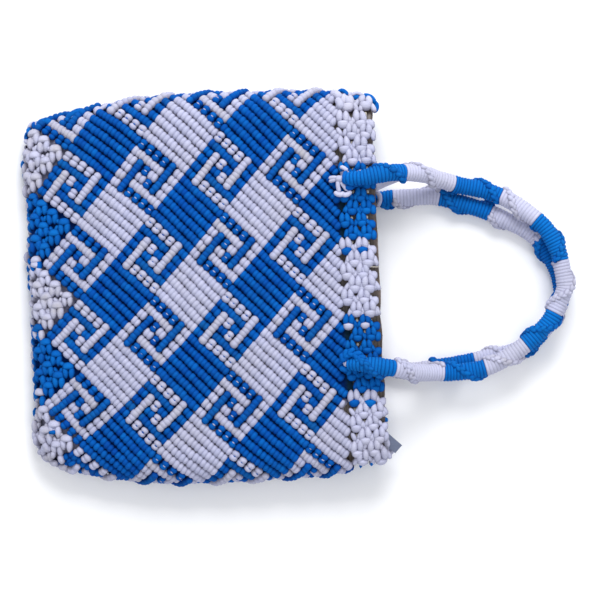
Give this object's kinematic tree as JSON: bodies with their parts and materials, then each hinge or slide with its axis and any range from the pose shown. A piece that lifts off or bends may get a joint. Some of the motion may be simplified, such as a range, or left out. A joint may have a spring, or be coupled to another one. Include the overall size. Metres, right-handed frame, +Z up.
{
  "type": "macrame handbag",
  "caption": "Knotted cord handbag with a satin lining and wrapped loop handles, lying flat on its back panel with the handles laid out beyond the open mouth.",
  "frame": {"origin": "centre of the lying bag's outline, on the surface it lies on", "axes": "+X from the closed bottom edge towards the mouth and the handles, +Y towards one side fold, +Z up through the front panel"},
  "size_m": [0.3725, 0.2666, 0.0511],
  "materials": {
    "blue_cord": "matte knotted cord, worked in blue and lilac-white patches",
    "white_cord": "matte wrapped cord, worked in lilac-white and blue lengths",
    "brown_satin": "soft satin with dark stripes",
    "slate_tape": "matte woven tape"
  },
  "bodies": {
    "root": {"knotted_body": "blue_cord", "satin_lining": "brown_satin", "front_handle": "white_cord", "back_handle": "white_cord", "tape_end": "slate_tape"}
  },
  "joints": []
}
